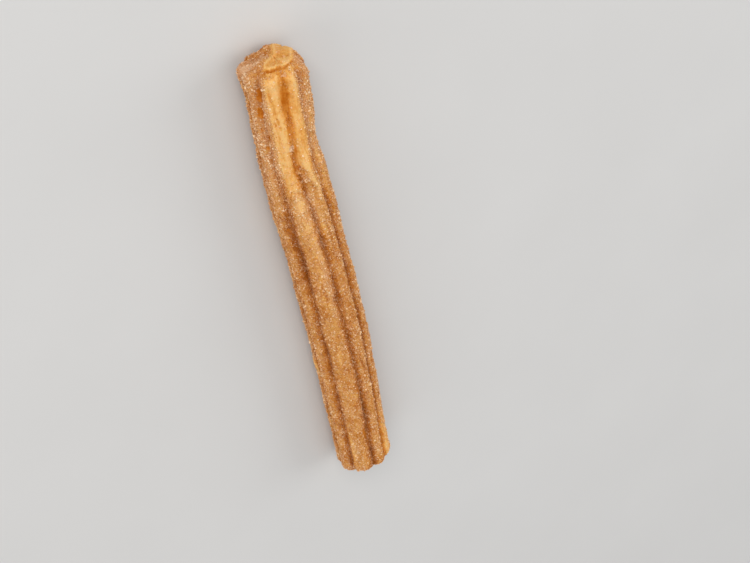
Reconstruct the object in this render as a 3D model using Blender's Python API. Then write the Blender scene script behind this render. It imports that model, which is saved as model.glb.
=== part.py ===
"""A churro: one length of dough, piped through a star nozzle, cut at both ends and fried.

It lies along Y on two of its ridges. The end at +Y is the one that was cut and pinched shut.
A place on its surface is told by two numbers: how far along it is, measured from the +Y end,
and its place round the star, where groove k is at k and the top of ridge k is at k + 0.5.
Groove 0 is on top, and the numbers rise towards +X.
"""

import math

import bmesh
import bpy
from mathutils import Vector, noise

MM = 0.001

# The dough
LENGTH = 188 * MM
CREST_RADIUS = 10.9 * MM  # from the axis to the top of a ridge
BELLY = 0.9 * MM  # how much thicker it is halfway along
GROOVE_ANGLES = (0, 33, 78, 129, 180, 228, 267, 305)  # degrees from straight up towards +X
GROOVE_DEPTH = 2.1 * MM
LOBE_POWER = 2.4  # 2 rounds a ridge like a parabola, and more makes its groove narrower
FLATTENED = 0.45 * MM  # how much the two lowest ridges are pressed flat where it is thickest
PRESSED_EDGE = 0.25 * MM  # how round the edge of what is pressed flat is

# How straight and even it is
TWIST = math.radians(2)  # how far a ridge wanders round the axis
TWIST_WAVE = 60 * MM
CREST_UNEVEN = 0.3 * MM
CREST_WAVE = 24 * MM
GROOVE_UNEVEN = 0.4 * MM
GROOVE_WAVE = 19 * MM
LUMP = 0.16 * MM
LUMP_SIZE = 6 * MM

# Where it bows to the side: the middle of the stretch, its half length, and how far
BOWS = (
    (40 * MM, 42 * MM, -1.3 * MM),
    (112 * MM, 48 * MM, 0.5 * MM),
    (188 * MM, 50 * MM, -0.8 * MM),
)
# Where single ridges swell (or sink), single grooves are deeper (or nearly closed), and
# single grooves drift round the axis. Each has which one, the middle of the stretch,
# its half length, and how much.
SWELLS = (
    (0, 25 * MM, 9 * MM, 0.4 * MM),
    (0, 49 * MM, 7 * MM, -0.5 * MM),
    (1, 29 * MM, 10 * MM, -0.8 * MM),
    (1, 43 * MM, 8 * MM, 0.4 * MM),
    (1, 78 * MM, 32 * MM, -0.6 * MM),
    (5, 1 * MM, 12 * MM, 0.9 * MM),
    (6, 1 * MM, 12 * MM, 0.9 * MM),
    (6, 70 * MM, 34 * MM, 0.5 * MM),
    (7, 12 * MM, 12 * MM, 0.3 * MM),
    (3, 120 * MM, 22 * MM, 0.5 * MM),
    (7, 132 * MM, 16 * MM, -0.5 * MM),
)
CUTS = (
    (0, 10 * MM, 10 * MM, 0.3 * MM),
    (0, 24 * MM, 8 * MM, -0.6 * MM),
    (0, 37 * MM, 8 * MM, 1.2 * MM),
    (7, 14 * MM, 14 * MM, -0.5 * MM),
    (7, 82 * MM, 28 * MM, 1.0 * MM),
    (1, 18 * MM, 14 * MM, -0.6 * MM),
    (0, 150 * MM, 12 * MM, 0.9 * MM),
)
DRIFTS = (
    (0, 28 * MM, 56 * MM, math.radians(-9)),
    (0, 35 * MM, 12 * MM, math.radians(-5)),
    (0, 8 * MM, 11 * MM, math.radians(-3)),
    (1, 20 * MM, 36 * MM, math.radians(-7)),
    (7, 16 * MM, 40 * MM, math.radians(-4)),
)

# The ends
END_DEPTH = 4.2 * MM  # how far along an end takes to round off
END_POWER = 2.7  # 2 is an ellipse, and more is a flatter end with a tighter edge
FLARE = 0.4 * MM
FLARE_REACH = 12 * MM
# How the +Y end and the -Y end are cut: how steeply each leans out towards +X, and upwards
SLANTS = ((math.radians(-7), math.radians(-5)), (math.radians(5), math.radians(3)))
SLANT_REACH = 26 * MM
# The pinched tongue of dough on each end: its centre in X and Z, half width, half height, lift
TONGUES = (
    (2.2 * MM, -0.4 * MM, 5.4 * MM, 9.4 * MM, 1.8 * MM),
    (-1.0 * MM, 0.5 * MM, 7.4 * MM, 5.6 * MM, 0.7 * MM),
)
TONGUE_TURN = math.radians(26)
TONGUE_EDGE = 0.22  # how wide the tongue's edge is, as a share of its size

# The mesh
RIDGES = len(GROOVE_ANGLES)
AROUND = 8 * RIDGES
RING_STEP = 3.7 * MM
END_ANGLES = (80, 71, 59, 45, 30, 15)  # round an end, from near its middle to its edge

AXIS_HEIGHT = (CREST_RADIUS + BELLY) * math.cos(math.pi / RIDGES) - FLATTENED

DOUGH_COLOUR = (0.60, 0.29, 0.09, 1)


def hump(x, centre, reach):
    """1 at the centre, falling smoothly to 0 at the reach on either side."""
    away = abs(x - centre) / reach
    return 0.5 + 0.5 * math.cos(math.pi * away) if away < 1 else 0.0


def smooth_step(x):
    x = min(1.0, max(0.0, x))
    return x * x * (3 - 2 * x)


def uneven(along, lane, wave):
    """Gentle variation from about -1 to 1 along the churro, different in each lane."""
    return 1.6 * noise.noise(Vector((along / wave, 5.3 * lane + 0.7, 2.1)))


def crest_radius(ridge, along):
    """From the axis to the top of a ridge."""
    to_end = min(along, LENGTH - along)
    radius = CREST_RADIUS + CREST_UNEVEN * uneven(along, ridge, CREST_WAVE)
    radius += BELLY * hump(along, LENGTH / 2, LENGTH / 2)
    radius += FLARE * (1 - smooth_step(to_end / FLARE_REACH))
    for which, centre, reach, height in SWELLS:
        if which == ridge:
            radius += height * hump(along, centre, reach)
    return radius


def groove_depth(groove, along):
    """From the tops of the ridges down to the bottom of a groove."""
    depth = GROOVE_DEPTH + GROOVE_UNEVEN * uneven(along, groove + 20, GROOVE_WAVE)
    for which, centre, reach, deeper in CUTS:
        if which == groove:
            depth += deeper * hump(along, centre, reach)
    return max(depth, 0.3 * GROOVE_DEPTH)


def groove_angle(groove, along):
    """How far round the axis a groove is, from straight up towards +X."""
    angle = math.radians(GROOVE_ANGLES[groove % RIDGES]) + 2 * math.pi * (groove // RIDGES)
    for which, centre, reach, drift in DRIFTS:
        if which == groove % RIDGES:
            angle += drift * hump(along, centre, reach)
    return angle


def star_radius(place, along, share):
    """From the axis to the surface. On an end, share falls from 1 at its edge to 0 in its middle."""
    ridge = int(place) % RIDGES
    across = place - int(place)
    side = ridge - 1 if across < 0.5 else ridge + 1
    toward_side = 2 * (0.5 - min(across, 1 - across)) ** 2
    crest = crest_radius(ridge, along) * (1 - toward_side)
    crest += crest_radius(side % RIDGES, along) * toward_side
    blend = smooth_step(across)
    depth = groove_depth(ridge, along) * (1 - blend)
    depth += groove_depth((ridge + 1) % RIDGES, along) * blend
    lobe = 1 - abs(2 * across - 1) ** LOBE_POWER
    return share * (crest - depth * (1 - lobe) * share**2)


def tongue_lift(x, z, tongue):
    """How far an end stands out at this point of it."""
    centre_x, centre_z, half_width, half_height, lift = tongue
    away_x = (x - centre_x) * math.cos(TONGUE_TURN) + (z - centre_z) * math.sin(TONGUE_TURN)
    away_z = (z - centre_z) * math.cos(TONGUE_TURN) - (x - centre_x) * math.sin(TONGUE_TURN)
    away = math.hypot(away_x / half_width, away_z / half_height)
    return lift * smooth_step((1 + TONGUE_EDGE - away) / TONGUE_EDGE)


def surface_point(along, share, place):
    """The point of the surface that is this far along and at this place round the star."""
    groove = int(place)
    across = place - groove
    angle = groove_angle(groove, along) * (1 - across) + groove_angle(groove + 1, along) * across
    angle += TWIST * uneven(along, math.cos(angle), TWIST_WAVE)
    radius = star_radius(place, along, share)
    x = radius * math.sin(angle)
    z = radius * math.cos(angle)
    out = 0.0
    for end, to_end in ((0, along), (1, LENGTH - along)):
        if share < 1 and to_end < LENGTH / 2:
            out += (1 - 2 * end) * tongue_lift(x, z, TONGUES[end])
        slant = x * math.tan(SLANTS[end][0]) + z * math.tan(SLANTS[end][1])
        out += slant * (1 - smooth_step(to_end / SLANT_REACH))
    x += sum(how_far * hump(along, centre, reach) for centre, reach, how_far in BOWS)
    point = Vector((x, LENGTH / 2 - along + out, z + AXIS_HEIGHT))
    point.x += share * LUMP * noise.noise(point / LUMP_SIZE)
    point.z += share * LUMP * noise.noise(point / LUMP_SIZE + Vector((9, 0, 0)))
    return point


def rings():
    """(along, share) of every ring of the mesh, from the +Y end to the -Y end."""
    steps = round((LENGTH - 2 * END_DEPTH) / RING_STEP)
    body = [END_DEPTH + (LENGTH - 2 * END_DEPTH) * i / steps for i in range(steps + 1)]
    end = []
    for degrees in END_ANGLES:
        angle = math.radians(degrees)
        share = math.cos(angle) ** (2 / END_POWER)
        end.append((END_DEPTH * (1 - math.sin(angle) ** (2 / END_POWER)), share))
    far_end = [(LENGTH - along, share) for along, share in reversed(end)]
    return end + [(along, 1.0) for along in body] + far_end


def churro_mesh():
    """The whole churro as one closed body: rings joined by faces, and a point in the middle of each end."""
    shape = bmesh.new()
    places = [i * RIDGES / AROUND for i in range(AROUND)]
    loops = []
    for along, share in rings():
        loops.append([shape.verts.new(surface_point(along, share, place)) for place in places])
    first = shape.verts.new(surface_point(0.0, 0.0, 0.0))
    last = shape.verts.new(surface_point(LENGTH, 0.0, 0.0))
    for i in range(AROUND):
        following = (i + 1) % AROUND
        for near, far in zip(loops, loops[1:]):
            shape.faces.new((near[i], near[following], far[following], far[i]))
        shape.faces.new((first, loops[0][following], loops[0][i]))
        shape.faces.new((last, loops[-1][i], loops[-1][following]))
    rest_on_floor(shape)
    bmesh.ops.triangulate(shape, faces=shape.faces[:])
    bmesh.ops.recalc_face_normals(shape, faces=shape.faces[:])
    mesh = bpy.data.meshes.new("churro")
    shape.to_mesh(mesh)
    shape.free()
    mesh.shade_smooth()
    return mesh


def pressed(height):
    """Where a point of this height ends up once the churro lies on a floor at 0."""
    if height > PRESSED_EDGE:
        return height
    return max(0.0, height + PRESSED_EDGE) ** 2 / (4 * PRESSED_EDGE)


def rest_on_floor(shape):
    """Presses the lowest ridges flat at Z = 0, and puts the origin under the middle of the churro."""
    middle_x = sum(side(v.co.x for v in shape.verts) for side in (min, max)) / 2
    middle_y = sum(side(v.co.y for v in shape.verts) for side in (min, max)) / 2
    for vertex in shape.verts:
        vertex.co -= Vector((middle_x, middle_y, 0))
        vertex.co.z = pressed(vertex.co.z)


def dough_material():
    material = bpy.data.materials.new("dough")
    material.use_nodes = True
    shader = material.node_tree.nodes["Principled BSDF"]
    shader.inputs["Base Color"].default_value = DOUGH_COLOUR
    shader.inputs["Roughness"].default_value = 0.75
    shader.inputs["Metallic"].default_value = 0.0
    return material


def main():
    for old in list(bpy.data.objects):
        bpy.data.objects.remove(old)
    churro = bpy.data.objects.new("churro", churro_mesh())
    bpy.context.scene.collection.objects.link(churro)
    churro.data.materials.append(dough_material())


main()
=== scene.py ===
"""The looks of a cinnamon-sugar churro.

The plain solid is replaced by a fine mesh of the same shape, with the drag lines, tears, pits,
cracks and folds of fried dough. Over it go three kinds of grain, each one mesh at true size:
sugar crystals, finer sugar and ground cinnamon.

Lengths are in millimetres until a mesh is made. A place on the churro is told by how far along
it is from the +Y end, and by its angle round the axis, in degrees from straight up towards +X.
Grooves 0 to 7 and ridges 0 to 7 follow each other in that direction, from groove 0 on top.
"""

import math

import bpy
import numpy as np
from mathutils import Matrix, Vector, noise

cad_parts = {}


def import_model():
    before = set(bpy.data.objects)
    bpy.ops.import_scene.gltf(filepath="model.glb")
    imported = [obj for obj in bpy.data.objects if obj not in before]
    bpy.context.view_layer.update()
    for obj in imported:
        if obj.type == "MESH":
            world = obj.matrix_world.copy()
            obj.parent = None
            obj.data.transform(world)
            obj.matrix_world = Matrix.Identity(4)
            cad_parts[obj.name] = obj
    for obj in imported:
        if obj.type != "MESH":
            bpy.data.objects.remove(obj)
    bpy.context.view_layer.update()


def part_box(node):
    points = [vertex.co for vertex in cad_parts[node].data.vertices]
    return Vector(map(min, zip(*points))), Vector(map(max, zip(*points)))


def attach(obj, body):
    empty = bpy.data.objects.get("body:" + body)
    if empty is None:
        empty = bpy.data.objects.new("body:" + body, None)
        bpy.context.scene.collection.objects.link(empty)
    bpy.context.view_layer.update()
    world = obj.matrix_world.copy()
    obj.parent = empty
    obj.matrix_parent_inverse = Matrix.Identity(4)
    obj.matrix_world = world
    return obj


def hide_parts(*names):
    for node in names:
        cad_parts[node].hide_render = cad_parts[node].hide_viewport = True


MM = 0.001

# The solid's shape, repeated from its source, with angles in degrees. Of two ends, the +Y end
# comes first.
LENGTH = 188
CREST_RADIUS = 10.9
BELLY = 0.9
GROOVE_ANGLES = (0, 33, 78, 129, 180, 228, 267, 305)
GROOVE_DEPTH = 2.1
SHALLOWEST = 0.3 * GROOVE_DEPTH
LOBE_POWER = 2.4
FLATTENED = 0.45
PRESSED_EDGE = 0.25
TWIST, TWIST_WAVE = 2, 60
CREST_UNEVEN, CREST_WAVE = 0.3, 24
GROOVE_UNEVEN, GROOVE_WAVE = 0.4, 19
LUMP, LUMP_SIZE = 0.16, 6
# Where it bows to the side: the middle of the stretch, its half length, and how far
BOWS = ((40, 42, -1.3), (112, 48, 0.5), (188, 50, -0.8))
# Where single ridges swell, single grooves are deeper, and single grooves drift round the axis:
# which one, the middle of the stretch, its half length, and how much
SWELLS = (
    (0, 25, 9, 0.4),
    (0, 49, 7, -0.5),
    (1, 29, 10, -0.8),
    (1, 43, 8, 0.4),
    (1, 78, 32, -0.6),
    (5, 1, 12, 0.9),
    (6, 1, 12, 0.9),
    (6, 70, 34, 0.5),
    (7, 12, 12, 0.3),
    (3, 120, 22, 0.5),
    (7, 132, 16, -0.5),
)
CUTS = (
    (0, 10, 10, 0.3),
    (0, 24, 8, -0.6),
    (0, 37, 8, 1.2),
    (7, 14, 14, -0.5),
    (7, 82, 28, 1.0),
    (1, 18, 14, -0.6),
    (0, 150, 12, 0.9),
)
DRIFTS = ((0, 28, 56, -9), (0, 35, 12, -5), (0, 8, 11, -3), (1, 20, 36, -7), (7, 16, 40, -4))
END_DEPTH = 4.2
END_POWER = 2.7
FLARE, FLARE_REACH = 0.4, 12
# How steeply each end leans out towards +X, and upwards
SLANTS = ((-7, -5), (5, 3))
SLANT_REACH = 26
# The pinched tongue of dough on each end: its centre in x and z, half width, half height, lift
TONGUES = ((2.2, -0.4, 5.4, 9.4, 1.8), (-1.0, 0.5, 7.4, 5.6, 0.7))
TONGUE_TURN = 26
# How far out a tongue is lifted in full, and how much further it takes to fall away, as shares
# of its size
TONGUE_FULL, TONGUE_SLOPE = 0.85, 0.65
# How wide the rim of an end is, and where it stops, as shares of the radius
RIM_WIDTH, RIM_INSIDE = 0.12, 0.97
RIDGES = len(GROOVE_ANGLES)
AXIS_HEIGHT = (CREST_RADIUS + BELLY) * math.cos(math.pi / RIDGES) - FLATTENED

# The fine mesh: how many points a ring has, and how far apart rings are on the body and the ends
AROUND = 34 * RIDGES
RING_STEP, END_STEP = 0.66, 0.32
CURVE_POINTS = 2000

# Where a groove is flat and smooth: along, angle, half length, half width, distance to the axis
BASINS = ((9.4, -9.5, 5.6, 1.9, 9.5),)
# Dents in the dough: along, angle, half length, half width, depth, and how strong the painted shade
# in them is
PITS = (
    (1.8, -6, 3.0, 1.5, -0.8, 0),
    (31.5, -4, 2.4, 1.2, 0.15, 0.3),
    (41.9, 0.5, 0.9, 0.8, -0.35, 0),
    (38.9, -10.5, 0.7, 1.2, -0.3, 0),
    (14.5, -63.5, 2.1, 1.7, 0.4, 1.0),
    (20.3, -65.5, 1.2, 0.6, 0.4, 0.8),
    (23.5, -55, 1.7, 0.9, 0.3, 1.0),
    (27.5, -63.5, 1.1, 0.8, 0.4, 0.8),
    (32.7, -62, 1.5, 0.6, 0.4, 0.8),
    (38, -60, 22, 2.0, -0.3, 0),
    (36, 24, 1.8, 0.8, 0.5, 0.6),
    (62, -62, 2.5, 1.1, 0.6, 0.7),
    (71, -7, 2.5, 0.8, 0.4, 0.7),
    (96, -8, 3.0, 1.0, 0.5, 0.6),
    (150, 70, 3.5, 1.2, 0.8, 0.9),
    (166, -8, 5.0, 1.3, 0.7, 0.8),
    (174, 128, 4.0, 1.4, 0.8, 0.9),
    (28, 175, 6.0, 1.4, 0.6, 0.8),
    (60, 130, 3.0, 1.2, 0.7, 0.8),
    (118, -130, 4.0, 1.3, 0.7, 0.9),
)
# Furrows and splits, each a line of (along, angle) points: depth, half width, and how strong the
# painted shade in them is
FURROWS = (
    (0.0, 1.7, 1.0, ((1.5, -5), (6, -7.5), (8.8, -9.4), (12, -10.5), (16.5, -14))),
    (0.20, 0.95, 0.52, ((27.5, 0), (30, -6), (32, -11.5), (34.5, -13.5), (38.0, -12.5))),
    (0.10, 0.70, 0.72, ((39.8, -11), (41.4, -9.0), (43.6, -11.5))),
    (0.30, 1.35, 1.0, ((3.6, -53), (8, -57), (12.4, -61))),
    (0.34, 0.55, 0.5, ((4.5, -35), (8, -34.5), (11.5, -34))),
    (0.34, 0.5, 0.5, ((11, -34), (13, -33), (15, -32.5))),
    (0.28, 0.5, 0.45, ((14.5, -31), (17, -30), (20.5, -29))),
    (0.25, 0.4, 0.45, ((16, -36), (20, -34))),
    (0.25, 0.60, 0.62, ((44.4, -41), (45.2, -34), (45.5, -28))),
    (0.25, 0.42, 0.60, ((45.3, -29), (45.8, -22), (46.8, -11))),
    (0.22, 0.35, 0.3, ((24, 4), (31, 8), (32.5, 14))),
    (0.28, 0.45, 0.5, ((60, 12), (66, 15), (74, 13))),
    (0.28, 0.45, 0.5, ((84, -27), (93, -24), (99, -26))),
    (0.45, 0.5, 0.7, ((120, 14), (128, 12), (133, 18), (137, 29))),
    (0.40, 0.5, 0.7, ((150, -85), (157, -80), (160, -72))),
    (0.40, 0.5, 0.7, ((40, 100), (52, 97), (58, 106))),
    (0.40, 0.5, 0.7, ((86, -158), (97, -153), (101, -144))),
)
# Folds, where one side of the line stands over the other: height, and (along, angle) points
# Each fold also gets a painted shadow on its lower side and a painted highlight on its lip
FOLDS = (
    (0.6, ((54, 16), (49.5, 13), (46.5, 11.3), (42.7, 6.6), (39.5, 2.3), (34.7, -2), (31.5, -3))),
    (0.5, ((128, -110), (132, -98), (139, -90))),
    (0.5, ((70, 150), (75, 160), (83, 165))),
)
# Paler patches of bare dough or packed sugar, or darker if less than 0, and among them patches of
# painted light and painted shade: along, angle, half length, half width, how much
PALE_PATCHES_AND_PAINTED_LIGHT = (
    # Painted highlight along the fold's lip
    (44.8, 14.5, 3.6, 0.9, 0.9),
    (40.5, 3, 2.6, 1.4, 0.6),
    # Painted highlight along the fold's lip, wider
    (45.5, 11, 4.5, 2.0, 0.8),
    (46.5, 2, 4.5, 1.9, 0.4),
    (41.2, -9, 3.0, 1.3, 0.5),
    (35, -9, 4.0, 1.5, 0.7),
    (22, 14, 18, 3.0, -0.10),
    (36, 12, 5.0, 2.5, -0.30),
    (46, 31, 7, 1.5, 0.35),
    (50, -26, 5.5, 2.6, 0.45),
    (36, 28, 10, 1.7, 0.5),
    (33, -45, 7, 1.5, 0.5),
    # Darker along groove 7 from about 60 to 90 mm: partly browner dough, partly a painted shadow
    (74, -54, 15, 2.0, -0.5),
    (88, -15, 21, 1.5, 0.3),
    (17, -44, 15, 1.3, 0.5),
    (62, -25, 14, 2.4, 0.35),
    (23, -5, 5.5, 1.6, 0.35),
    # Painted light on the +X flank, which the lamps leave dim
    (20, 46, 20, 3.0, 0.6),
    # Lighter in groove 1: partly paler dough, partly painted light filling its shade
    (18, 26.5, 18, 1.7, 0.85),
    (45, 31, 11, 1.5, 0.45),
    (50, 2, 8, 2.0, 0.45),
    (52, 12, 9, 2.4, 0.35),
    (28.6, -15, 1.8, 1.1, 1.3),
    (41.9, 0.5, 1.0, 0.9, 1.0),
    (38.9, -10.5, 0.7, 1.2, 0.9),
    (36, -60, 20, 2.6, 0.42),
    (33.5, 5, 4.5, 1.3, 0.3),
    (19, -24, 15, 1.1, 0.45),
    (52, -25, 9, 1.8, 0.4),
    (6, 14, 4, 0.8, 0.5),
    # Painted shade on the lobe at -104 degrees on the +Y end
    (1.5, -104, 4.0, 5.5, -0.75),
    (1.5, 66, 4.0, 4.5, -0.15),
    (1.4, 24, 1.8, 2.6, 0.45),
    (2.8, -61, 1.1, 1.0, 0.8),
)

# Patches that the coat has come off: along, angle, half length, half width, how bare
RUBBED = ((49.5, -23.5, 6.5, 1.5, 0.62),)

# Where the coat is mostly sugar: along, angle, half length, half width, how much
SUGARY = (
    (24, -76, 34, 5.8, 0.40),
    (50, -28, 6, 2.0, 0.20),
    (33, -45, 7, 1.5, 0.2),
    (15, -50, 14, 1.6, 0.35),
    (25, 26.5, 22, 1.6, 0.30),
    (88, -15, 21, 1.4, 0.50),
    (41.9, 0.5, 1.2, 1.0, 0.8),
    (22, -9, 6, 1.6, 0.50),
    (57, -5, 11, 2.4, 0.35),
    (22, 48, 20, 4.0, 0.30),
    (3.0, -6, 2.0, 1.6, 0.60),
    (1.5, -104, 3.5, 5.5, 0.74),
    (1.5, 66, 3.5, 4.5, 0.60),
    (58, -24, 22, 2.2, 0.25),
    (28.6, -15, 1.8, 1.1, 1.0),
    (110, 100, 30, 5.0, 0.30),
    (70, -160, 35, 6.0, 0.30),
    (187, -60, 4.0, 8.0, 0.40),
)

# The flap of bare dough that the cut pulled over each end, seen along the axis: the (x, z) points
# of its outline
FLAPS = (
    (
        (5.0, -8.6), (8.6, -4.5), (9.0, -2.0), (7.3, 1.5), (5.8, 4.5), (3.5, 6.3),
        (1.3, 7.7), (-0.3, 7.8), (-2.1, 7.5), (-3.9, 7.0), (-5.4, 5.2), (-4.2, 3.6),
        (-2.0, 1.9), (0.9, -0.3), (2.4, -4.0), (3.9, -7.8),
    ),
    (
        (-7.6, -1.2), (-6.6, 3.0), (-3.2, 5.4), (0.8, 6.3), (4.8, 4.8), (6.4, 1.6),
        (3.6, -0.6), (1.6, -3.4), (-1.8, -4.7), (-5.2, -3.9),
    ),
)
# The crease beside each flap, darkened with painted shade, as a line of (x, z) points
CREASES = (
    (
        (-5.6, 5.6), (-4.6, 6.8), (-3.8, 7.4), (-2.1, 7.8), (-0.3, 8.1), (1.3, 8.0),
        (3.6, 6.6), (6.0, 4.7), (7.4, 2.0),
    ),
    ((-7.4, 1.4), (-6.6, 3.2), (-3.2, 5.6), (0.8, 6.5), (4.9, 5.0), (6.5, 1.7)),
)
# Dimples on the ends: which end, x, z, half width, half height, depth, and how strong the painted
# shade in them is
DIMPLES = (
    (0, 0.6, 1.8, 0.5, 1.3, 0.30, 0.8),
    (0, 3.4, 1.5, 2.2, 2.5, 0.40, 0.52),
    (0, -2.0, -2.5, 3.0, 3.2, 0.55, 0.6),
    (0, -4.6, -6.5, 2.2, 1.2, 0.4, 0.5),
    (1, -1.4, 1.6, 1.4, 0.6, 0.4, 0.7),
    (1, 4.2, -5.2, 2.6, 1.8, 0.6, 0.7),
    (1, -5.5, -6.5, 1.5, 1.5, 0.5, 0.6),
)
# How far the edge of a dent, line or patch strays from its plain shape
RAGGED = 0.6
# How far drag lines stand out, how deep small tears are and how wide they are in their noise,
# how far a flap's rim stands out, and how deep its crease is
DRAG, TEAR_DEPTH, TEAR_WIDTH = 0.11, 0.25, 0.10
FLAP_RIM, CREASE_DEPTH = 0.25, 0.35

# The bare strip on top at the +Y end: the angles it lies between, each with what it fades over,
# how far along it reaches, with the same, and how bare it is
STRIP_FROM, STRIP_TO = (-48, 12), (24, 14)
STRIP_REACH, STRIP_FADE = 34, 24
STRIP_BARE = 0.85
# Past this angle the strip stops at the fold, sharply, and a little further along at each degree
PAST_FOLD = (-16, 10)
FOLD_REACH, FOLD_LEAN, FOLD_SHARPER = 35, 0.2, 20
# The bare shoulder of the +Y end, beside its flap
SHOULDER_FROM, SHOULDER_TO = (-48, 12), (42, 14)

# How high the grains under the churro hold it off the floor
COAT_UNDER = 0.12
# No grain sticks in dents whose painted shade is this strong, fading over this much
CLEAN_DENTS = (0.6, 0.2)
# How thick the coat is at the most, the least of it that sticks even to bare dough, and how much
# of that is free of cinnamon
FULL_COAT, LEAST_COAT, UNDUSTED = 1.015, 0.008, 0.012
# Each kind of grain: how many, how large, how much that varies, the lowest and highest that they
# sit as shares of their size, and the least and most that they are whitened
GRAINS = {
    "sugar_crystals": (24500, 0.48, 0.26, (-0.25, 0.2), (0.05, 0.93)),
    "fine_sugar": (49000, 0.34, 0.25, (-0.2, 0.2), (0.0, 0.65)),
    "ground_cinnamon": (40000, 0.22, 0.3, (-0.2, 0.2), (0.0, 1.0)),
}
# The limits of a single grain's size, of its stretch in each direction, and of how far its
# corners stray, all as shares of the size of its kind
SMALLEST, LARGEST = 0.55, 1.55
STRETCH = (0.75, 1.25)
ROUGH = 0.13
SEED = 7

# The view: where the camera stands, what it looks at, and how it is turned on its own axis
CAMERA_AT = (-123.6, 294.2, 375.0)
CAMERA_AIM = (20.3, -12.2, 9.5)
CAMERA_ROLL = 135.45
LENS, SENSOR = 62.4, 36
NEAREST, FURTHEST = 0.01, 20  # what it sees, in metres

# The studio's lights: which way each stands, how far away and how wide in metres, watts, colour
LIGHTS = (
    ("key", (-0.3, 0.74, 0.70), 2.2, 1.4, 24, (1.0, 0.985, 0.96)),
    ("top", (0.1, -0.1, 1.0), 2.4, 1.8, 7.8, (1, 1, 1)),
    ("fill_right", (0.9, 0.1, 0.55), 2.4, 1.6, 16, (1, 1, 1)),
    ("fill_left", (-0.95, -0.1, 0.5), 2.4, 1.6, 10, (1, 1, 1)),
)
SKY_COLOUR, SKY_STRENGTH = (0.95, 0.97, 1.0, 1), 0.42
FLOOR_REACH = 4000

# Linear colours of the dough, from the brightest crests to the deepest grooves, the darker end
# partly
# painted shade in grooves and dents: where it is bare, and where a sandy coat covers it
BARE_TONES = (
    (0.00, (0.86, 0.51, 0.19, 1)),
    (0.25, (0.80, 0.40, 0.105, 1)),
    (0.60, (0.64, 0.235, 0.030, 1)),
    (1.00, (0.46, 0.12, 0.002, 1)),
)
SANDY_TONES = (
    (0.00, (0.72, 0.35, 0.098, 1)),
    (0.45, (0.56, 0.198, 0.030, 1)),
    (1.00, (0.36, 0.095, 0.008, 1)),
)
# Under more and more sugar, and of the whitest grains
FROSTED = (0.69, 0.35, 0.155, 1)
WHITENED = (0.86, 0.60, 0.39, 1)
SUGAR_WHITE = (0.92, 0.67, 0.41, 1)
CINNAMON_DARK, CINNAMON_PALE = (0.34, 0.10, 0.018, 1), (0.58, 0.21, 0.045, 1)
FLOOR_COLOURS = ((0.62, 0.61, 0.595, 1), (0.66, 0.65, 0.635, 1))
# How bare the dough is where it first shows through the coat, and where it shows in full
SHOWS, SHOWS_FULLY = 0.3, 0.55


# --- the solid's shape -----------------------------------------------------------------------


def hump(x, centre, reach):
    """1 at the centre, falling smoothly to 0 at the reach on either side."""
    away = np.clip(np.abs(x - centre) / reach, 0, 1)
    return 0.5 + 0.5 * np.cos(np.pi * away)


def smooth_step(x):
    x = np.clip(x, 0, 1)
    return x * x * (3 - 2 * x)


def past(x, start, width):
    """0 up to the start, and rising smoothly to 1 over the width after it."""
    return smooth_step((x - start) / width)


def before(x, end, width):
    """0 from the end on, and rising smoothly to 1 over the width before it."""
    return smooth_step((end - x) / width)


def noise_at(x, y, z):
    """Blender's noise at each of these points, from about -1 to 1."""
    spots = np.stack(np.broadcast_arrays(x, y, z), axis=-1)
    values = [noise.noise(spot) for spot in spots.reshape(-1, 3).tolist()]
    return np.array(values).reshape(spots.shape[:-1])


def uneven(along, lane, wave):
    """Gentle variation from about -1 to 1 along the churro, different in each lane."""
    return 1.6 * noise_at(along / wave, 5.3 * lane + 0.7, 2.1)


def listed(changes, which, along):
    """What the changes that are listed for this ridge or groove add up to."""
    own = [change for k, *change in changes if k == which]
    return sum(amount * hump(along, centre, reach) for centre, reach, amount in own)


def crest_radius(ridge, along):
    """From the axis to the top of a ridge."""
    to_end = np.minimum(along, LENGTH - along)
    radius = CREST_RADIUS + CREST_UNEVEN * uneven(along, ridge, CREST_WAVE)
    radius += BELLY * hump(along, LENGTH / 2, LENGTH / 2)
    radius += FLARE * (1 - smooth_step(to_end / FLARE_REACH))
    return radius + listed(SWELLS, ridge, along)


def groove_depth(groove, along):
    """From the top of a ridge down to the bottom of a groove."""
    depth = GROOVE_DEPTH + GROOVE_UNEVEN * uneven(along, groove + 20, GROOVE_WAVE)
    return np.maximum(depth + listed(CUTS, groove, along), SHALLOWEST)


def per_ridge(values):
    """One column for each ridge, and the first again at the end."""
    columns = [np.broadcast_to(column, values[0].shape) for column in values]
    return np.concatenate(columns + columns[:1], axis=1)


def ring_places():
    """How far along each ring is, and its share of the full radius, as columns."""
    steps = round((LENGTH - 2 * END_DEPTH) / RING_STEP)
    body = np.linspace(END_DEPTH, LENGTH - END_DEPTH, steps + 1)
    # The curve from the middle of an end to its edge, drawn finely and then cut into even steps
    angle = np.linspace(math.pi / 2, 0, CURVE_POINTS)
    share = np.cos(angle) ** (2 / END_POWER)
    along = END_DEPTH * (1 - np.sin(angle) ** (2 / END_POWER))
    gone = np.concatenate(([0], np.cumsum(np.hypot(np.diff(share * CREST_RADIUS), np.diff(along)))))
    even = np.linspace(0, gone[-1], round(gone[-1] / END_STEP) + 1)[1:-1]
    share, along = np.interp(even, gone, share), np.interp(even, gone, along)
    whole = np.concatenate((along, body, LENGTH - along[::-1]))
    shares = np.concatenate((share, np.ones(len(body)), share[::-1]))
    return whole[:, None], shares[:, None]


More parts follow.
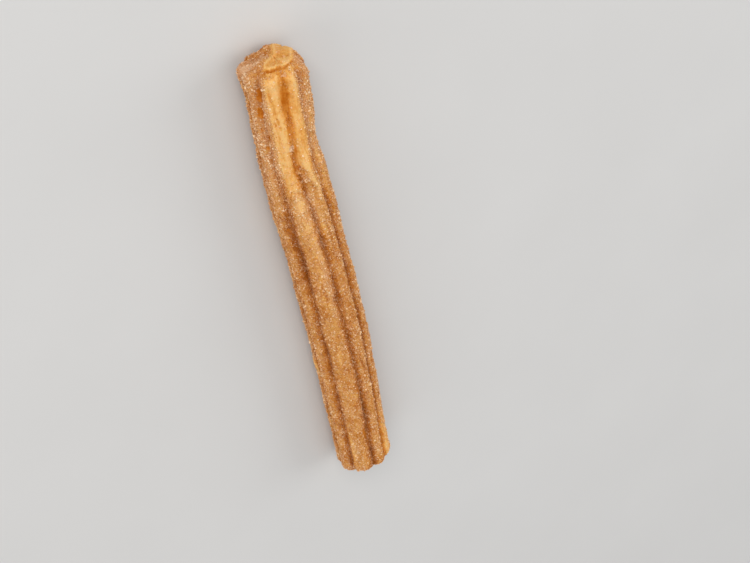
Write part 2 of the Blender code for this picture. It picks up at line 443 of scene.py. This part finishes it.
def tongue_distance(x, z, centre_x, centre_z, half_width, half_height):
    """1 at the edge of a tongue of dough on an end, and less inside it."""
    turn = math.radians(TONGUE_TURN)
    away_x = (x - centre_x) * math.cos(turn) + (z - centre_z) * math.sin(turn)
    away_z = (z - centre_z) * math.cos(turn) - (x - centre_x) * math.sin(turn)
    return np.hypot(away_x / half_width, away_z / half_height)


def in_basin(along, angle, centre, middle, half_length, half_width):
    """1 in the flat middle of a basin, falling to 0 outside it."""
    turned = np.radians((angle - middle + 180) % 360 - 180) * CREST_RADIUS
    return np.exp(-0.7 * (((along - centre) / half_length) ** 4 + (turned / half_width) ** 4))


def base_shape(along, share, place):
    """The solid's surface at these places, and what is known about each place."""
    ridge = place.astype(int)
    across = place - ridge
    crests = per_ridge([crest_radius(k, along) for k in range(RIDGES)])
    depths = per_ridge([groove_depth(k, along) for k in range(RIDGES)])
    grooves = per_ridge(
        [GROOVE_ANGLES[k] + listed(DRIFTS, k, along) + 0 * along for k in range(RIDGES)]
    )
    grooves[:, -1] += 360
    side = np.where(across < 0.5, (ridge - 1) % RIDGES, (ridge + 1) % RIDGES)
    toward_side = 2 * (0.5 - np.minimum(across, 1 - across)) ** 2
    crest = crests[:, ridge] * (1 - toward_side) + crests[:, side] * toward_side
    blend = smooth_step(across)
    depth = depths[:, ridge] * (1 - blend) + depths[:, ridge + 1] * blend
    valley = np.abs(2 * across - 1) ** LOBE_POWER
    radius = share * (crest - depth * valley * share**2)
    angle = grooves[:, ridge] * (1 - across) + grooves[:, ridge + 1] * across
    angle = angle + TWIST * uneven(along, np.cos(np.radians(angle)), TWIST_WAVE)
    for *basin, floor in BASINS:
        flat = in_basin(along, angle, *basin)
        radius = radius * (1 - flat) + share * floor * flat
    x = radius * np.sin(np.radians(angle))
    z = radius * np.cos(np.radians(angle))
    out = 0 * x
    for end, to_end in ((0, along), (1, LENGTH - along)):
        on_end = (share < 1) & (to_end < LENGTH / 2)
        *tongue, lift = TONGUES[end]
        distance = tongue_distance(x, z, *tongue)
        lift = lift * before(distance, TONGUE_FULL + TONGUE_SLOPE, TONGUE_SLOPE)
        out += (1 - 2 * end) * lift * on_end * before(share, 1, RIM_WIDTH)
        lean_x, lean_z = (math.tan(math.radians(lean)) for lean in SLANTS[end])
        out += (x * lean_x + z * lean_z) * (1 - smooth_step(to_end / SLANT_REACH))
    x = x + sum(how_far * hump(along, centre, reach) for centre, reach, how_far in BOWS)
    spots = np.stack((x, LENGTH / 2 - along + out, z + AXIS_HEIGHT), axis=-1)
    spots[..., 0] += share * LUMP * noise_at(*np.moveaxis(spots / LUMP_SIZE, -1, 0))
    spots[..., 2] += share * LUMP * noise_at(*np.moveaxis(spots / LUMP_SIZE + (9, 0, 0), -1, 0))
    about = {
        "along": along + 0 * angle,
        "share": share + 0 * angle,
        "angle": (angle + 180) % 360 - 180,
        "round": np.radians(angle),
        "valley": valley + 0 * angle,
        "x": x,
        "z": z,
    }
    return spots, about


# --- the finer relief ------------------------------------------------------------------------


def outward(spots):
    """Unit normals of a grid of spots that closes on itself round the churro."""
    down = np.gradient(spots, axis=0)
    across = np.roll(spots, -1, axis=1) - np.roll(spots, 1, axis=1)
    normals = np.cross(down, across)
    length = np.linalg.norm(normals, axis=-1, keepdims=True)
    return normals / np.maximum(length, 1e-9)


def noise_on(about, long_size, round_size, seed):
    """Noise in the dough's own directions: features this long along it, and this wide round it."""
    reach = CREST_RADIUS * about["share"] / round_size
    return noise_at(
        about["along"] / long_size + seed,
        reach * np.cos(about["round"]),
        reach * np.sin(about["round"]) + 3.7 * seed,
    )


def gap(about, along, angle):
    """How far each place is from this one, along and round, in millimetres, a little ragged."""
    turned = (about["angle"] - angle + 180) % 360 - 180
    stray_along, stray_round = about["stray"]
    return about["along"] - along + stray_along, np.radians(turned) * CREST_RADIUS + stray_round


def to_line(u, v, points):
    """The distance to a line of points, negative on its left, and the share of it gone by there."""
    nearest = np.full(u.shape, np.inf)
    signed = np.full(u.shape, np.inf)
    gone = np.zeros_like(nearest)
    for i, (start, end) in enumerate(zip(points, points[1:])):
        step = np.subtract(end, start)
        du, dv = u - start[0], v - start[1]
        part = np.clip((du * step[0] + dv * step[1]) / (step @ step), 0, 1)
        away = np.hypot(du - part * step[0], dv - part * step[1])
        closer = away < nearest
        nearest = np.where(closer, away, nearest)
        signed = np.where(closer, away * np.sign(du * step[1] - dv * step[0]), signed)
        gone = np.where(closer, (i + part) / (len(points) - 1), gone)
    return signed, gone


def to_marks(about, points):
    """The same for a line of (along, angle) places on the side of the churro."""
    spans = [(along, math.radians(angle - points[0][1]) * CREST_RADIUS) for along, angle in points]
    along, turned = gap(about, 0, points[0][1])
    return to_line(along, turned, spans)


def inside_flap(x, z, points):
    """How far inside the flap's outline each place is, and negative outside it."""
    away, _ = to_line(x, z, points + points[:1])
    within = np.zeros(x.shape, bool)
    for (x0, z0), (x1, z1) in zip(points, points[1:] + points[:1]):
        if z0 != z1:
            within ^= ((z0 > z) != (z1 > z)) & (x < (x1 - x0) * (z - z0) / (z1 - z0) + x0)
    return np.where(within, np.abs(away), -np.abs(away))


def ends(about):
    """Each end, which places are on it, 0 at its rim to 1, and how far inside its flap each is."""
    for end, to_end in ((0, about["along"]), (1, LENGTH - about["along"])):
        on_end = before(about["share"], RIM_INSIDE, RIM_WIDTH) * (to_end < LENGTH / 2)
        yield end, on_end, inside_flap(about["x"], about["z"], FLAPS[end])


def patch(about, along, angle, half_length, half_width):
    """1 in the middle of an oval patch, falling to 0 outside it."""
    down, turned = gap(about, along, angle)
    return np.exp(-(((down / half_length) ** 2 + (turned / half_width) ** 2) ** 1.8))


def bareness(about):
    """1 where the dough shows, and 0 where it is thick with sugar."""
    along, angle = about["along"], about["angle"]
    crest = 1 - about["valley"]
    # The bare strip, which stops at the fold on one side
    past_fold = past(angle, *PAST_FOLD)
    reach = STRIP_REACH * (1 - past_fold) + (FOLD_REACH + FOLD_LEAN * angle) * past_fold
    near_end = 1 - past(along, reach, STRIP_FADE - FOLD_SHARPER * past_fold)
    on_top = past(angle, *STRIP_FROM) * before(angle, *STRIP_TO)
    bare = STRIP_BARE * near_end * on_top
    # The crest beside the strip is worn, less so further along
    worn = 0.45 * crest * hump(angle, -25, 24) * (1 - 0.6 * past(along, 60, 60))
    bare = np.maximum(bare, worn)
    # Long streaks on every crest, and wider ones towards the -Y end
    stripes = noise_on(about, 40, 6, 11)
    bare = np.maximum(bare, 0.6 * smooth_step(stripes * 3 - 0.6) * crest)
    for *place, how_bare in RUBBED:
        bare = np.maximum(bare, how_bare * patch(about, *place))
    streaks = smooth_step(noise_on(about, 60, 9, 15) * 4 + 0.2)
    bare = np.maximum(bare, 0.7 * past(along, 150, 26) * streaks)
    # Each end's flap is bare, and so is the +Y end's shoulder
    for end, on_end, inside in ends(about):
        flap = 0.22 + 0.68 * past(inside, -0.9, 1.6)
        on_shoulder = past(angle, *SHOULDER_FROM) * before(angle, *SHOULDER_TO)
        shoulder = (0.62 - 0.3 * hump(angle, -5, 8)) * on_shoulder
        shoulder = shoulder * (about["share"] > 0.5) * (end == 0)
        bare = bare * (1 - on_end) + on_end * np.maximum(flap, shoulder)
    bare = bare + 0.22 * noise_on(about, 4, 3, 5) + 0.12 * noise_on(about, 1.5, 1.5, 8)
    return np.clip(bare, 0, 1)


def relief(about):
    """How far the fine relief stands out, the painted shade in its dents, tears, creases and
    dimples and under its folds, and the painted highlight on the folds' lips.
    """
    crest = 1 - about["valley"]
    body = past(about["share"], 0.7, 0.3)
    out = 0.20 * noise_on(about, 3.4, 2.6, 1) + 0.12 * noise_on(about, 1.6, 1.4, 2)
    drag = noise_on(about, 9, 0.8, 3) + 0.6 * noise_on(about, 5, 0.45, 4)
    out += DRAG * drag * (0.5 + 0.5 * about["bare"]) * body
    # Short tears across the crests, in bunches
    thin_lines = smooth_step(1 - np.abs(noise_on(about, 1.1, 2.4, 6)) / TEAR_WIDTH)
    tears = thin_lines * smooth_step(noise_on(about, 14, 6, 7) * 3)
    out -= TEAR_DEPTH * tears * crest * body
    # Painted shade in the tears
    dark = 0.3 * tears * crest
    # Painted shade in the pits and furrows, as strong as each one lists
    for along, angle, half_length, half_width, depth, darkness in PITS:
        pit = patch(about, along, angle, half_length, half_width)
        out -= depth * pit
        dark = np.maximum(dark, darkness * pit)
    for depth, half_width, darkness, points in FURROWS:
        away, gone = to_marks(about, points)
        furrow = np.exp(-((away / half_width) ** 4)) * np.sqrt(hump(gone, 0.5, 0.6))
        out -= depth * furrow
        dark = np.maximum(dark, darkness * furrow)
    lip = np.zeros_like(out)
    for height, points in FOLDS:
        away, gone = to_marks(about, points)
        length = smooth_step(gone * 5) * smooth_step((1 - gone) * 4)
        over = np.exp(-np.abs(away) / 2.4) * smooth_step(0.5 + away / 2) * length
        under = np.exp(-np.abs(away) / 2.0) * smooth_step(0.5 - away / 2) * length
        out += height * (over - 0.6 * under)
        # A painted shadow on the lower side of each fold, and a painted highlight along its lip
        dark = np.maximum(dark, 0.36 * hump(away, -0.7, 0.9) * length * smooth_step(gone * 2.5))
        lip = np.maximum(lip, hump(away, 1.1, 1.5) * length)
    # Each end's flap stands out at its rim, with the crease beside it, which holds painted shade
    for end, on_end, inside in ends(about):
        away, gone = to_line(about["x"], about["z"], CREASES[end])
        away = np.abs(away + 0.12 * noise_on(about, 1.5, 1.5, 12))
        strength = smooth_step(gone * 12) * (1 - 0.3 * past(gone, 0.3, 0.3))
        strength = strength * smooth_step((1 - gone) * 5)
        crease = np.exp(-((away / (0.2 + 0.25 * strength)) ** 4)) * strength * on_end
        rim = FLAP_RIM * past(inside, -0.2, 0.5) * before(inside, 1.8, 1.2) * on_end
        out += rim - CREASE_DEPTH * crease
        dark = np.maximum(dark, crease)
    # Dimples on the ends, with painted shade in them
    for end, x, z, half_width, half_height, depth, darkness in DIMPLES:
        pit = ((about["x"] - x) / half_width) ** 2 + ((about["z"] - z) / half_height) ** 2
        here = (about["share"] < RIM_INSIDE) & ((about["along"] > LENGTH / 2) == bool(end))
        pit = np.exp(-pit) * here
        out -= depth * pit
        dark = np.maximum(dark, darkness * pit)
    return out, dark, lip


def tone_of(about):
    """The colour of each place, from 0 on the brightest crests to 1 in the deepest dents, with
    painted shade in the grooves, dents, creases and under folds, and a painted highlight on the
    folds' lips.
    """
    body = past(about["share"], 0.75, 0.25)
    # Grooves darker than crests: partly the dough's own deeper colour, partly painted shade
    tone = 0.22 + 0.5 * past(about["valley"], 0.10, 0.5) * body
    mottling = 0.26 - 0.14 * about["bare"]
    tone += 0.20 * noise_on(about, 7, 3.5, 41) + mottling * noise_on(about, 1.9, 1.3, 42)
    tone += 0.22 * (1 - about["bare"]) * noise_on(about, 3.6, 2.0, 44)
    # Both ends a little darker all over, a painted shade as the +Y end faces the key light, and
    # paler along each flap's rim
    for _, on_end, inside in ends(about):
        bright_rim = 0.34 * past(inside, 0.1, 0.5) * before(inside, 1.5, 0.8)
        tone += on_end * (0.12 - bright_rim)
    for *place, amount in PALE_PATCHES_AND_PAINTED_LIGHT:
        tone -= amount * 0.5 * patch(about, *place)
    # The painted highlight along each fold's lip
    tone -= 0.55 * about["lip"]
    # Never lighter than the painted shade of dents, tears, creases and folds
    return np.clip(np.maximum(tone, about["dark"] + 0.1 * noise_on(about, 2, 1.5, 43)), 0, 1)


def pressed(height):
    """Heights with those below 0 pressed up to it, round at the edge."""
    lifted = np.maximum(0, height + PRESSED_EDGE) ** 2 / (4 * PRESSED_EDGE)
    return np.where(height > PRESSED_EDGE, height, lifted)


def centre_of(values):
    return (values.min() + values.max()) / 2


def sugar_share(about):
    """How much of the coat is sugar: more here makes its grains paler."""
    share = 0.12 * noise_on(about, 16, 7, 51) + 0.25 * noise_on(about, 3.0, 2.2, 52)
    for *place, amount in SUGARY:
        share += amount * patch(about, *place)
    return share


def dough_grid():
    """The fine surface as a grid of spots, with what is known about each."""
    along, share = ring_places()
    place = np.arange(AROUND) * RIDGES / AROUND
    spots, about = base_shape(along, share, place)
    about["stray"] = [RAGGED * noise_on(about, 1.8, 1.2, seed) for seed in (61, 62)]
    about["sugar"] = sugar_share(about)
    about["bare"] = np.clip(bareness(about) - 2 * np.maximum(about["sugar"] - 0.55, 0), 0, 1)
    out, about["dark"], about["lip"] = relief(about)
    about["clean"] = past(about["dark"], *CLEAN_DENTS)
    # Dents are bare, and so is each fold's lip, which is painted bright as a highlight
    about["bare"] = np.maximum(about["bare"], np.maximum(about["clean"], 0.62 * about["lip"]))
    about["tone"] = tone_of(about)
    # Centred on the solid's box, as the solid is
    low, high = (np.array(corner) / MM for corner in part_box("churro"))
    offset = np.array((centre_of(spots[..., 0]), centre_of(spots[..., 1]), 0))
    spots = spots - offset + np.array(((low[0] + high[0]) / 2, (low[1] + high[1]) / 2, 0))
    spots = spots + outward(spots) * out[..., None]
    spots[..., 2] = COAT_UNDER + pressed(spots[..., 2] - COAT_UNDER)
    return spots, about


# --- meshes ----------------------------------------------------------------------------------


def new_object(name, spots, faces, attributes, smooth):
    """A mesh object from arrays. faces is an array with one row of corners for each face."""
    mesh = bpy.data.meshes.new(name)
    sides = faces.shape[1]
    mesh.vertices.add(len(spots))
    mesh.loops.add(faces.size)
    mesh.polygons.add(len(faces))
    mesh.vertices.foreach_set("co", (spots * MM).astype(np.float32).ravel())
    mesh.loops.foreach_set("vertex_index", faces.astype(np.int32).ravel())
    mesh.polygons.foreach_set("loop_start", np.arange(0, faces.size, sides, dtype=np.int32))
    mesh.polygons.foreach_set("use_smooth", np.full(len(faces), smooth))
    mesh.update(calc_edges=True)
    for label, values in attributes.items():
        attribute = mesh.attributes.new(label, "FLOAT", "POINT")
        attribute.data.foreach_set("value", values.astype(np.float32).ravel())
    made = bpy.data.objects.new(name, mesh)
    bpy.context.scene.collection.objects.link(made)
    return made


def dough_object(spots, about):
    """The grid as triangles, closed by one vertex in the middle of each end."""
    rings, around = spots.shape[:2]
    index = np.arange(rings * around).reshape(rings, around)
    following = np.roll(index, -1, axis=1)
    quads = np.stack((index[:-1], following[:-1], following[1:], index[1:]), axis=-1)
    quads = quads.reshape(-1, 4)
    triangles = np.concatenate((quads[:, [0, 1, 2]], quads[:, [0, 2, 3]]))
    first, last = rings * around, rings * around + 1
    start = np.stack((np.full(around, first), following[0], index[0]), axis=-1)
    finish = np.stack((np.full(around, last), index[-1], following[-1]), axis=-1)
    faces = np.concatenate((triangles, start, finish))[:, ::-1]
    middles = np.stack((spots[0].mean(axis=0), spots[-1].mean(axis=0)))
    attributes = {}
    for label in ("bare", "tone", "sugar"):
        values = about[label]
        attributes[label] = np.concatenate((values.ravel(), (values[0].mean(), values[-1].mean())))
    spots = np.concatenate((spots.reshape(-1, 3), middles))
    return new_object("dough", spots, faces, attributes, True)


def scatter(spots, chance, count, rng):
    """Random spots on the dough and the way out from each, more of them where chance is higher."""
    following = np.roll(spots, -1, axis=1)
    corners = [spots[:-1], following[:-1], spots[1:], following[1:]]
    normals = np.cross(corners[2] - corners[0], corners[1] - corners[0])
    areas = np.linalg.norm(normals, axis=-1)
    weights = (areas * chance[:-1]).ravel()
    cell = rng.choice(len(weights), size=count, p=weights / weights.sum())
    s, t = rng.random((2, count, 1))
    a, b, c, d = (corner.reshape(-1, 3)[cell] for corner in corners)
    where = (a * (1 - s) + b * s) * (1 - t) + (c * (1 - s) + d * s) * t
    way_out = normals.reshape(-1, 3)[cell] / np.maximum(areas.ravel()[cell], 1e-9)[:, None]
    return where, way_out, cell


def random_turns(count, rng):
    """Random rotation matrices."""
    turns = rng.normal(size=(count, 4))
    w, x, y, z = turns.T / np.linalg.norm(turns, axis=1)
    rows = (
        (1 - 2 * (y * y + z * z), 2 * (x * y - z * w), 2 * (x * z + y * w)),
        (2 * (x * y + z * w), 1 - 2 * (x * x + z * z), 2 * (y * z - x * w)),
        (2 * (x * z - y * w), 2 * (y * z + x * w), 1 - 2 * (x * x + y * y)),
    )
    return np.moveaxis(np.array(rows), -1, 0)


# The shapes of single grains, about 1 across: a three-sided wedge, and a chip with four faces
WEDGE_RADIUS, WEDGE_TOP, WEDGE_TURNS = 0.55, 0.42, (0.3, 2.1, 4.3)
WEDGE = np.array(
    [
        (WEDGE_RADIUS * math.cos(turn), WEDGE_RADIUS * math.sin(turn), height)
        for height in (-WEDGE_TOP, WEDGE_TOP)
        for turn in WEDGE_TURNS
    ]
)
WEDGE_FACES = np.array(
    ((0, 2, 1), (3, 4, 5), (0, 1, 4), (0, 4, 3), (1, 2, 5), (1, 5, 4), (2, 0, 3), (2, 3, 5))
)
CHIP = np.array(((0.5, 0, -0.3), (-0.3, 0.45, -0.3), (-0.3, -0.45, -0.3), (0.0, 0.0, 0.45)))
CHIP_FACES = np.array(((0, 1, 3), (1, 2, 3), (2, 0, 3), (0, 2, 1)))


def grains(name, shape, faces, spots, about, chance, rng):
    """Many copies of one rough grain as one mesh, each turned, sized and pressed in at random.

    Those under the churro are pressed in further, so that none goes below the floor.
    """
    count, size, spread, sits, white = GRAINS[name]
    where, way_out, cell = scatter(spots, chance, count, rng)
    sizes = size * np.clip(rng.lognormal(0, spread, count), SMALLEST, LARGEST)
    stretch = rng.uniform(*STRETCH, size=(count, 1, 3))
    rough = rng.uniform(-ROUGH, ROUGH, size=(count, len(shape), 3))
    made = (shape[None] + rough) * stretch * sizes[:, None, None]
    made = np.einsum("nij,nvj->nvi", random_turns(count, rng), made)
    lift = rng.uniform(*sits, size=count) * sizes
    made += (where + way_out * lift[:, None])[:, None]
    made[..., 2] += np.maximum(0, -made[..., 2].min(axis=1))[:, None]
    corners = faces[None] + np.arange(count)[:, None, None] * len(shape)
    under = {label: about[label][:-1].ravel()[cell] for label in ("bare", "tone", "sugar")}
    whitened = white[0] + (white[1] - white[0]) * rng.random(count) ** 2
    # Less white where the dough's tone is deep: partly as the grooves hold more cinnamon, partly as
    # painted shade
    under["white"] = np.clip(whitened * (1.15 - 0.8 * under["tone"]) + 0.35 * under["sugar"], 0, 1)
    attributes = {label: np.repeat(values, len(shape)) for label, values in under.items()}
    return new_object(name, made.reshape(-1, 3), corners.reshape(-1, 3), attributes, False)


# --- materials -------------------------------------------------------------------------------


class Shader:
    """A Principled material, with short calls for the nodes that feed it."""

    MIX_SHARE, MIX_A, MIX_B, MIX_COLOUR = 0, 6, 7, 2  # the sockets of a colour mix

    def __init__(self, name):
        self.material = bpy.data.materials.new(name)
        self.material.use_nodes = True
        self.tree = self.material.node_tree
        self.surface = self.tree.nodes["Principled BSDF"]
        self.where = self.add("TexCoord").outputs["Object"]

    def add(self, kind, **settings):
        node = self.tree.nodes.new("ShaderNode" + kind)
        for name, value in settings.items():
            setattr(node, name, value)
        return node

    def feed(self, socket, value):
        if isinstance(value, bpy.types.NodeSocket):
            self.tree.links.new(value, socket)
        else:
            socket.default_value = value

    def attribute(self, name):
        return self.add("Attribute", attribute_name=name).outputs["Fac"]

    def math(self, operation, a, b, clamp=False):
        node = self.add("Math", operation=operation, use_clamp=clamp)
        self.feed(node.inputs[0], a)
        self.feed(node.inputs[1], b)
        return node.outputs[0]

    def mix(self, share, a, b):
        node = self.add("Mix", data_type="RGBA")
        self.feed(node.inputs[self.MIX_SHARE], share)
        self.feed(node.inputs[self.MIX_A], a)
        self.feed(node.inputs[self.MIX_B], b)
        return node.outputs[self.MIX_COLOUR]

    def ramp(self, value, tones):
        node = self.add("ValToRGB")
        stops = node.color_ramp.elements
        while len(stops) < len(tones):
            stops.new(0.5)
        for stop, (position, colour) in zip(stops, tones):
            stop.position, stop.color = position, colour
        self.feed(node.inputs[0], value)
        return node.outputs[0]

    def remap(self, value, low, high, to_low=0.0, to_high=1.0):
        node = self.add("MapRange")
        self.feed(node.inputs["Value"], value)
        node.inputs["From Min"].default_value = low
        node.inputs["From Max"].default_value = high
        node.inputs["To Min"].default_value = to_low
        node.inputs["To Max"].default_value = to_high
        return node.outputs["Result"]

    def varied(self, value, noise, amount):
        """The value, with noise added that runs from minus the amount to the amount."""
        return self.math("ADD", value, self.remap(noise, 0.3, 0.7, -amount, amount))

    def stretched(self, x, y, z):
        node = self.add("Mapping")
        self.feed(node.inputs["Vector"], self.where)
        node.inputs["Scale"].default_value = (x, y, z)
        return node.outputs["Vector"]

    def noise(self, size, detail=2.0, roughness=0.5, where=None):
        """Noise with features of this size in millimetres."""
        node = self.add("TexNoise")
        self.feed(node.inputs["Vector"], where or self.where)
        node.inputs["Scale"].default_value = 1 / (size * MM)
        node.inputs["Detail"].default_value = detail
        node.inputs["Roughness"].default_value = roughness
        return node.outputs["Fac"]

    def cells(self, size):
        """For cells of this size in millimetres, a random number and the distance to the middle."""
        node = self.add("TexVoronoi")
        self.feed(node.inputs["Vector"], self.where)
        node.inputs["Scale"].default_value = 1 / (size * MM)
        split = self.add("SeparateColor")
        self.feed(split.inputs[0], node.outputs["Color"])
        return split.outputs[0], node.outputs["Distance"]

    def bump(self, height, distance, strength=1.0):
        node = self.add("Bump")
        self.feed(node.inputs["Height"], height)
        node.inputs["Distance"].default_value = distance * MM
        self.feed(node.inputs["Strength"], strength)
        self.feed(self.surface.inputs["Normal"], node.outputs["Normal"])


def dough_colour(made, bare, tone):
    """Golden crests, deep orange grooves and dents, partly painted shade, and a sandy skin where
    the sugar is thick.
    """
    sugar = made.attribute("sugar")
    sandy = made.ramp(tone, SANDY_TONES)
    sandy = made.mix(made.remap(sugar, 0.05, 0.7, 0, 0.7), sandy, FROSTED)
    sandy = made.mix(made.remap(sugar, 0.7, 1.1, 0, 0.8), sandy, WHITENED)
    return made.mix(made.remap(bare, SHOWS, SHOWS_FULLY), sandy, made.ramp(tone, BARE_TONES))


def dough_material():
    made = Shader("fried_dough")
    bare, tone = made.attribute("bare"), made.attribute("tone")
    # Mottled, with streaks along the churro, and speckled where the coat is thick
    streaks = made.noise(1, where=made.stretched(1.6, 0.35, 1.6))
    mottled = made.varied(made.varied(tone, made.noise(0.8), 0.14), streaks, 0.12)
    cell, away = made.cells(0.50)
    sandiness = made.math("SUBTRACT", 1, made.remap(bare, SHOWS, SHOWS_FULLY))
    grainy = made.math("MULTIPLY", sandiness, made.remap(cell, 0, 1, -0.22, 0.22))
    ragged = made.varied(bare, made.noise(0.6), 0.3)
    colour = dough_colour(made, ragged, made.math("ADD", mottled, grainy, clamp=True))
    made.feed(made.surface.inputs["Base Color"], colour)
    made.feed(made.surface.inputs["Roughness"], made.remap(ragged, 0.3, 0.6, 0.85, 0.5))
    made.surface.inputs["Specular IOR Level"].default_value = 0.12
    made.surface.inputs["Subsurface Weight"].default_value = 0.12
    made.surface.inputs["Subsurface Radius"].default_value = (1.0, 0.4, 0.12)
    made.surface.inputs["Subsurface Scale"].default_value = 1.2 * MM
    # A skin of fine grain and lines, and of sandy lumps where the coat is thick
    fine = made.noise(0.3, 3, 0.6)
    lines = made.noise(1, where=made.stretched(2.4, 0.2, 2.4))
    height = made.math("MULTIPLY", fine, made.remap(bare, 0.2, 0.7, 0.8, 0.35))
    height = made.math("ADD", height, made.math("MULTIPLY", lines, 0.5))
    sandy_lumps = made.math("MULTIPLY", away, made.remap(bare, 0.2, 0.7, -0.9, 0))
    height = made.math("ADD", height, sandy_lumps)
    made.bump(height, 0.25)
    return made.material


def sugar_material(name, roughness):
    """Clear grains: each takes its colour from the dough under it, painted shade and highlight
    included, and is more or less whitened.
    """
    made = Shader(name)
    under = dough_colour(made, made.attribute("bare"), made.attribute("tone"))
    colour = made.mix(made.attribute("white"), under, SUGAR_WHITE)
    made.feed(made.surface.inputs["Base Color"], colour)
    made.surface.inputs["Roughness"].default_value = roughness
    return made.material


def cinnamon_material():
    made = Shader("ground_cinnamon")
    colour = made.mix(made.attribute("white"), CINNAMON_DARK, CINNAMON_PALE)
    made.feed(made.surface.inputs["Base Color"], colour)
    made.surface.inputs["Roughness"].default_value = 0.85
    return made.material


def floor_material():
    made = Shader("pale_floor")
    colour = made.mix(made.noise(60, 3), *FLOOR_COLOURS)
    made.feed(made.surface.inputs["Base Color"], colour)
    made.surface.inputs["Roughness"].default_value = 0.7
    made.bump(made.noise(1.5), 0.05, 0.3)
    return made.material


# --- the scene -------------------------------------------------------------------------------


def part_of_churro(piece, material):
    """Give a piece its material, and let it ride on the churro's only body."""
    piece.data.materials.append(material)
    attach(piece, "root")


def add_churro():
    spots, about = dough_grid()
    dough = dough_object(spots, about)
    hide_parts("churro")
    part_of_churro(dough, dough_material())

    rng = np.random.default_rng(SEED)
    coat = np.clip(FULL_COAT - about["bare"], LEAST_COAT, 1) * (1 - 0.9 * about["clean"])
    clumps = 0.4 + 0.6 * smooth_step(0.6 + 1.4 * noise_on(about, 3.5, 3.0, 21))
    crystals = grains("sugar_crystals", WEDGE, WEDGE_FACES, spots, about, coat * clumps, rng)
    part_of_churro(crystals, sugar_material("sugar_crystals", 0.3))
    fine = grains("fine_sugar", CHIP, CHIP_FACES, spots, about, coat, rng)
    part_of_churro(fine, sugar_material("fine_sugar", 0.6))
    clouds = 0.25 + 0.75 * smooth_step(0.55 + 1.5 * noise_on(about, 4.5, 3.2, 31))
    dusted = np.maximum(coat - UNDUSTED, 0) * clouds
    cinnamon = grains("ground_cinnamon", CHIP, CHIP_FACES, spots, about, dusted, rng)
    part_of_churro(cinnamon, cinnamon_material())


def add_camera():
    camera = bpy.data.cameras.new("camera")
    camera.lens = LENS
    camera.sensor_width = SENSOR
    camera.clip_start = NEAREST
    camera.clip_end = FURTHEST
    at, aim = Vector(CAMERA_AT) * MM, Vector(CAMERA_AIM) * MM
    upright = (aim - at).to_track_quat("-Z", "Y").to_matrix().to_4x4()
    made = bpy.data.objects.new("camera", camera)
    roll = Matrix.Rotation(math.radians(CAMERA_ROLL), 4, "Z")
    made.matrix_world = Matrix.Translation(at) @ upright @ roll
    bpy.context.scene.collection.objects.link(made)
    bpy.context.scene.camera = made


def add_light(name, direction, distance, size, watts, colour):
    light = bpy.data.lights.new(name, "AREA")
    light.shape = "DISK"
    light.size = size
    light.energy = watts
    light.color = colour
    away = Vector(direction).normalized()
    made = bpy.data.objects.new(name, light)
    turned = away.to_track_quat("Z", "Y").to_matrix().to_4x4()
    made.matrix_world = Matrix.Translation(away * distance) @ turned
    bpy.context.scene.collection.objects.link(made)


def add_studio():
    world = bpy.data.worlds.new("studio")
    world.use_nodes = True
    sky = world.node_tree.nodes["Background"]
    sky.inputs["Color"].default_value = SKY_COLOUR
    sky.inputs["Strength"].default_value = SKY_STRENGTH
    bpy.context.scene.world = world
    for light in LIGHTS:
        add_light(*light)
    corners = FLOOR_REACH * np.array(((-1, -1, 0), (1, -1, 0), (1, 1, 0), (-1, 1, 0)), float)
    floor = new_object("floor", corners, np.array(((0, 1, 2, 3),)), {}, False)
    floor.data.materials.append(floor_material())


def main():
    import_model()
    add_camera()
    add_studio()
    add_churro()
    bpy.context.scene.view_settings.view_transform = "Standard"


main()
